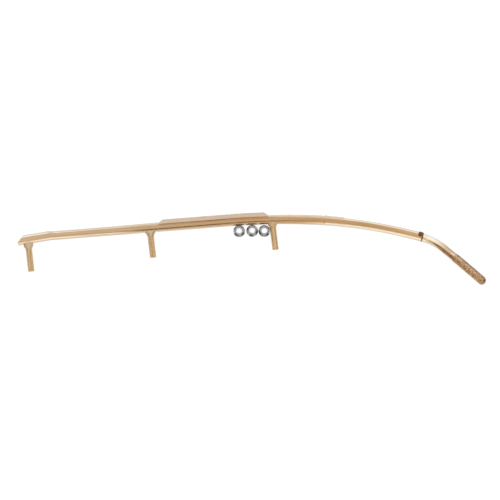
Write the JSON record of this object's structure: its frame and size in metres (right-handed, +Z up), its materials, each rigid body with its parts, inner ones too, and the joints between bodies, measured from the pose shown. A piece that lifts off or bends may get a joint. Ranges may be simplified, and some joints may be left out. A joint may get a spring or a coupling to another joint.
{
  "type": "snowmobile ski wear bar",
  "caption": "Long plated round steel wear bar for a snowmobile ski with bent nose, V keel, threaded studs and loose nylon lock nuts.",
  "frame": {"origin": "middle of the footprint of the bar and its nuts, on the surface that they lie on", "axes": "+X along the bar towards its bent nose, +Y towards the wear edge that meets the snow, +Z up from the surface that the bar lies on. The studs point along -Y."},
  "size_m": [0.6444, 0.146, 0.0127],
  "materials": {
    "plated_bar": "satin",
    "plated_stud": "satin",
    "plated_keel": "satin",
    "carbide": "satin",
    "plated_weld": "satin",
    "burnt_weld": "matte",
    "forged_nose": "satin",
    "bright_zinc": "satin",
    "nylon": "satin"
  },
  "bodies": {
    "runner": {"host_bar": "plated_bar", "nose_rod": "forged_nose", "keel_blade": "plated_keel", "carbide_insert_1": "carbide", "carbide_insert_2": "carbide", "carbide_insert_3": "carbide", "carbide_insert_4": "carbide", "carbide_insert_5": "carbide", "carbide_insert_6": "carbide", "hardfacing_rear": "plated_weld", "hardfacing_front": "plated_weld", "hardfacing_pad": "plated_weld", "nose_weld": "burnt_weld", "stud_rear": "plated_stud", "stud_weld_rear": "plated_weld", "stud_middle": "plated_stud", "stud_weld_middle": "plated_weld", "stud_front": "plated_stud", "stud_weld_front": "plated_weld"},
    "nut_1": {"lock_nut_1": "bright_zinc", "nylon_insert_1": "nylon"},
    "nut_2": {"lock_nut_2": "bright_zinc", "nylon_insert_2": "nylon"},
    "nut_3": {"lock_nut_3": "bright_zinc", "nylon_insert_3": "nylon"}
  },
  "joints": [
    {"name": "nut_1_slide", "type": "slide", "parent": "runner", "child": "nut_1", "axis": [0, -1, 0], "range_m": [0, 0.04]},
    {"name": "nut_2_slide", "type": "slide", "parent": "runner", "child": "nut_2", "axis": [0, -1, 0], "range_m": [0, 0.04]},
    {"name": "nut_3_slide", "type": "slide", "parent": "runner", "child": "nut_3", "axis": [0, -1, 0], "range_m": [0, 0.04]}
  ]
}
